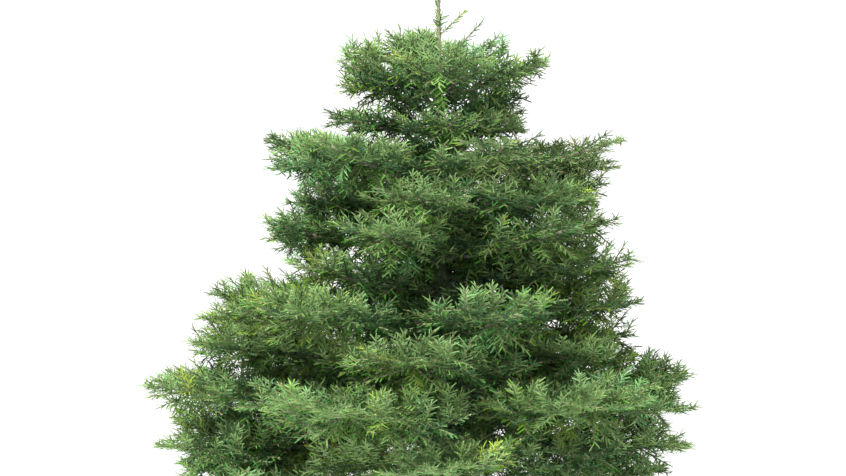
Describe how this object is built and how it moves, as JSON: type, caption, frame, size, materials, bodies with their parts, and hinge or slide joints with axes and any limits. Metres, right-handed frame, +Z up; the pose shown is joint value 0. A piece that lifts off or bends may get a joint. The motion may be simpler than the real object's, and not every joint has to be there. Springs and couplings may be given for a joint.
{
  "type": "christmas tree",
  "caption": "Undecorated cut fir for indoors: a tapering trunk with tiers of spreading boughs full of needles and a slim leader on top, fixed on a plain wooden cross.",
  "frame": {"origin": "on the floor under the middle of the wooden cross, in line with the foot of the trunk", "axes": "+Z up along the trunk, -Y to the front, +X to the right of the front"},
  "size_m": [1.6408, 1.5829, 1.89],
  "materials": {
    "bark": "matt",
    "needles": "satin",
    "beam_wood": "planed, bare"
  },
  "bodies": {
    "root": {"trunk": "bark", "leader_needles": "needles", "stand_beam_1": "beam_wood", "stand_beam_2": "beam_wood", "whorl_1_foliage_1": "needles", "whorl_1_foliage_2": "needles", "whorl_1_foliage_3": "needles", "whorl_1_foliage_4": "needles", "whorl_1_foliage_5": "needles", "between_1_foliage_1": "needles", "between_1_foliage_2": "needles", "between_1_foliage_3": "needles", "whorl_2_foliage_1": "needles", "whorl_2_foliage_2": "needles", "whorl_2_foliage_3": "needles", "whorl_2_foliage_4": "needles", "whorl_2_foliage_5": "needles", "whorl_2_foliage_6": "needles", "between_2_foliage_1": "needles", "between_2_foliage_2": "needles", "between_2_foliage_3": "needles", "whorl_3_foliage_1": "needles", "whorl_3_foliage_2": "needles", "whorl_3_foliage_3": "needles", "whorl_3_foliage_4": "needles", "whorl_3_foliage_5": "needles", "whorl_3_foliage_6": "needles", "between_3_foliage_1": "needles", "between_3_foliage_2": "needles", "between_3_foliage_3": "needles", "whorl_4_foliage_1": "needles", "whorl_4_foliage_2": "needles", "whorl_4_foliage_3": "needles", "whorl_4_foliage_4": "needles", "whorl_4_foliage_5": "needles", "whorl_4_foliage_6": "needles", "between_4_foliage_1": "needles", "between_4_foliage_2": "needles", "between_4_foliage_3": "needles", "between_4_foliage_4": "needles", "whorl_5_foliage_1": "needles", "whorl_5_foliage_2": "needles", "whorl_5_foliage_3": "needles", "whorl_5_foliage_4": "needles", "whorl_5_foliage_5": "needles", "whorl_5_foliage_6": "needles", "between_5_foliage_1": "needles", "between_5_foliage_2": "needles", "between_5_foliage_3": "needles", "between_5_foliage_4": "needles", "whorl_6_bough_1": "bark", "whorl_6_bough_2": "bark", "whorl_6_bough_3": "bark", "whorl_6_bough_4": "bark", "whorl_6_bough_5": "bark", "whorl_6_foliage_1": "needles", "whorl_6_foliage_2": "needles", "whorl_6_foliage_3": "needles", "whorl_6_foliage_4": "needles", "whorl_6_foliage_5": "needles"}
  },
  "joints": []
}
